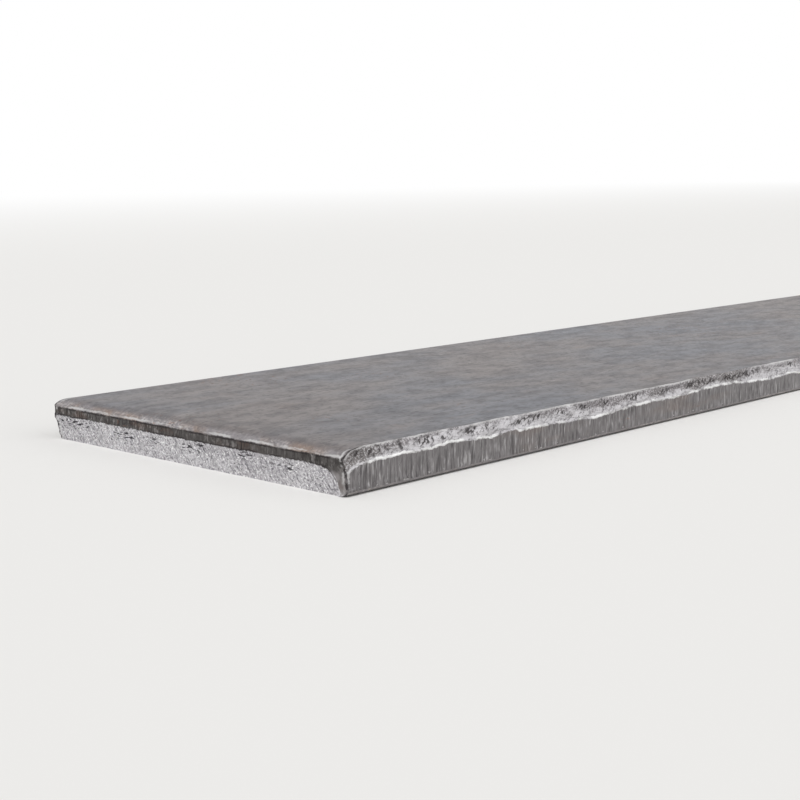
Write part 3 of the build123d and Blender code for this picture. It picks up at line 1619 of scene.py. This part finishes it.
@dataclass(frozen=True)
class Studio:
    """A pale floor, a white backdrop and soft lamps."""

    floor_shade: str = "#eeedeb"
    floor_size: float = 60.0
    fade_start: float = 0.4
    fade_end: float = 2.2
    ambient: float = 0.5
    white: str = "#ffffff"
    lamps: tuple[Lamp, ...] = (
        Lamp("key_lamp", 205.0, 40.0, 18.0, 1.9),
        Lamp("fill_lamp", 288.0, 30.0, 60.0, 0.6),
    )

    def seen(self, tree: bpy.types.NodeTree) -> Source:
        """Marks what is seen, mirrored or seen through something clear.

        Args:
            tree: The node tree of the floor or the backdrop.

        Returns:
            1 for such a ray, and 0 for one that brings light.
        """
        ray = add(tree, "ShaderNodeLightPath", {})
        seen: Source = ray.outputs["Is Camera Ray"]
        for kind in ("Is Glossy Ray", "Is Transmission Ray"):
            seen = add(tree, "ShaderNodeMath", {0: seen, 1: ray.outputs[kind]}, operation="MAXIMUM")
        return seen

    def lay_floor(self, reach: float) -> None:
        """Lays the floor, which keeps the bar's shadow and fades to white away from the bar.

        Args:
            reach: Half the bar's length, in metres.
        """
        half = self.floor_size / 2
        corners = [(-half, -half, 0), (half, -half, 0), (half, half, 0), (-half, half, 0)]
        mesh = bpy.data.meshes.new("floor")
        mesh.from_pydata(corners, [], [(0, 1, 2, 3)])
        floor = bpy.data.objects.new("floor", mesh)
        bpy.context.scene.collection.objects.link(floor)
        material = bpy.data.materials.new("pale_matt_floor")
        material.use_nodes = True
        tree = material.node_tree
        tree.nodes.clear()
        matt = add(tree, "ShaderNodeBsdfDiffuse", {"Color": linear(self.floor_shade)})
        white = add(tree, "ShaderNodeEmission", {"Color": linear(self.white), "Strength": 1.0})
        coords = add(tree, "ShaderNodeTexCoord", {})
        away = add(tree, "ShaderNodeVectorMath", {0: coords.outputs["Object"]}, operation="ABSOLUTE")
        away = add(tree, "ShaderNodeVectorMath", {0: away, 1: (reach, 0.0, 0.0)}, operation="SUBTRACT")
        away = add(tree, "ShaderNodeVectorMath", {0: away, 1: (0.0, 0.0, 0.0)}, operation="MAXIMUM")
        away = add(tree, "ShaderNodeVectorMath", {0: away}, operation="LENGTH")
        fade = add(
            tree, "ShaderNodeMapRange",
            {"Value": away, "From Min": self.fade_start, "From Max": self.fade_end},
            interpolation_type="SMOOTHSTEP",
        )
        share = add(tree, "ShaderNodeMath", {0: self.seen(tree), 1: fade}, operation="MULTIPLY")
        shown = add(tree, "ShaderNodeMixShader", {0: share, 1: matt, 2: white})
        add(tree, "ShaderNodeOutputMaterial", {"Surface": shown})
        mesh.materials.append(material)

    def hang_backdrop(self) -> None:
        """Makes the world: white where it is seen or mirrored, and dimmer as light."""
        world = bpy.data.worlds.new("studio")
        world.use_nodes = True
        tree = world.node_tree
        tree.nodes.clear()
        level = add(tree, "ShaderNodeMapRange", {"Value": self.seen(tree), "To Min": self.ambient})
        light = add(tree, "ShaderNodeBackground", {"Color": linear(self.white), "Strength": level})
        add(tree, "ShaderNodeOutputWorld", {"Surface": light})
        bpy.context.scene.world = world

    def set_up(self, reach: float) -> None:
        """Builds the floor, the backdrop and the lamps.

        Args:
            reach: Half the bar's length, in metres.
        """
        self.lay_floor(reach)
        self.hang_backdrop()
        for lamp in self.lamps:
            lamp.place()
        bpy.context.scene.view_settings.view_transform = "Standard"


def main() -> None:
    """Builds the bar and the studio, and reports each piece."""
    logging.basicConfig(level=logging.INFO, format="%(name)s: %(message)s")
    low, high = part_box("flat_bar")
    size = (high - low) / MM
    bar = FlatBar(length=size.x, width=size.y, thickness=size.z)
    skin = bar.build("flat_bar_skin")
    skin.data.materials.append(ShearedSteel().make())
    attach(skin, "root")
    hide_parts("flat_bar")
    triangles = sum(len(p.vertices) - 2 for p in skin.data.polygons)
    log.info("%s: %d triangles", skin.name, triangles)

    Studio().set_up(high.x)
    Viewpoint().place(Vector((low.x, low.y, (low.z + high.z) / 2)))


if __name__ == "__main__":
    main()
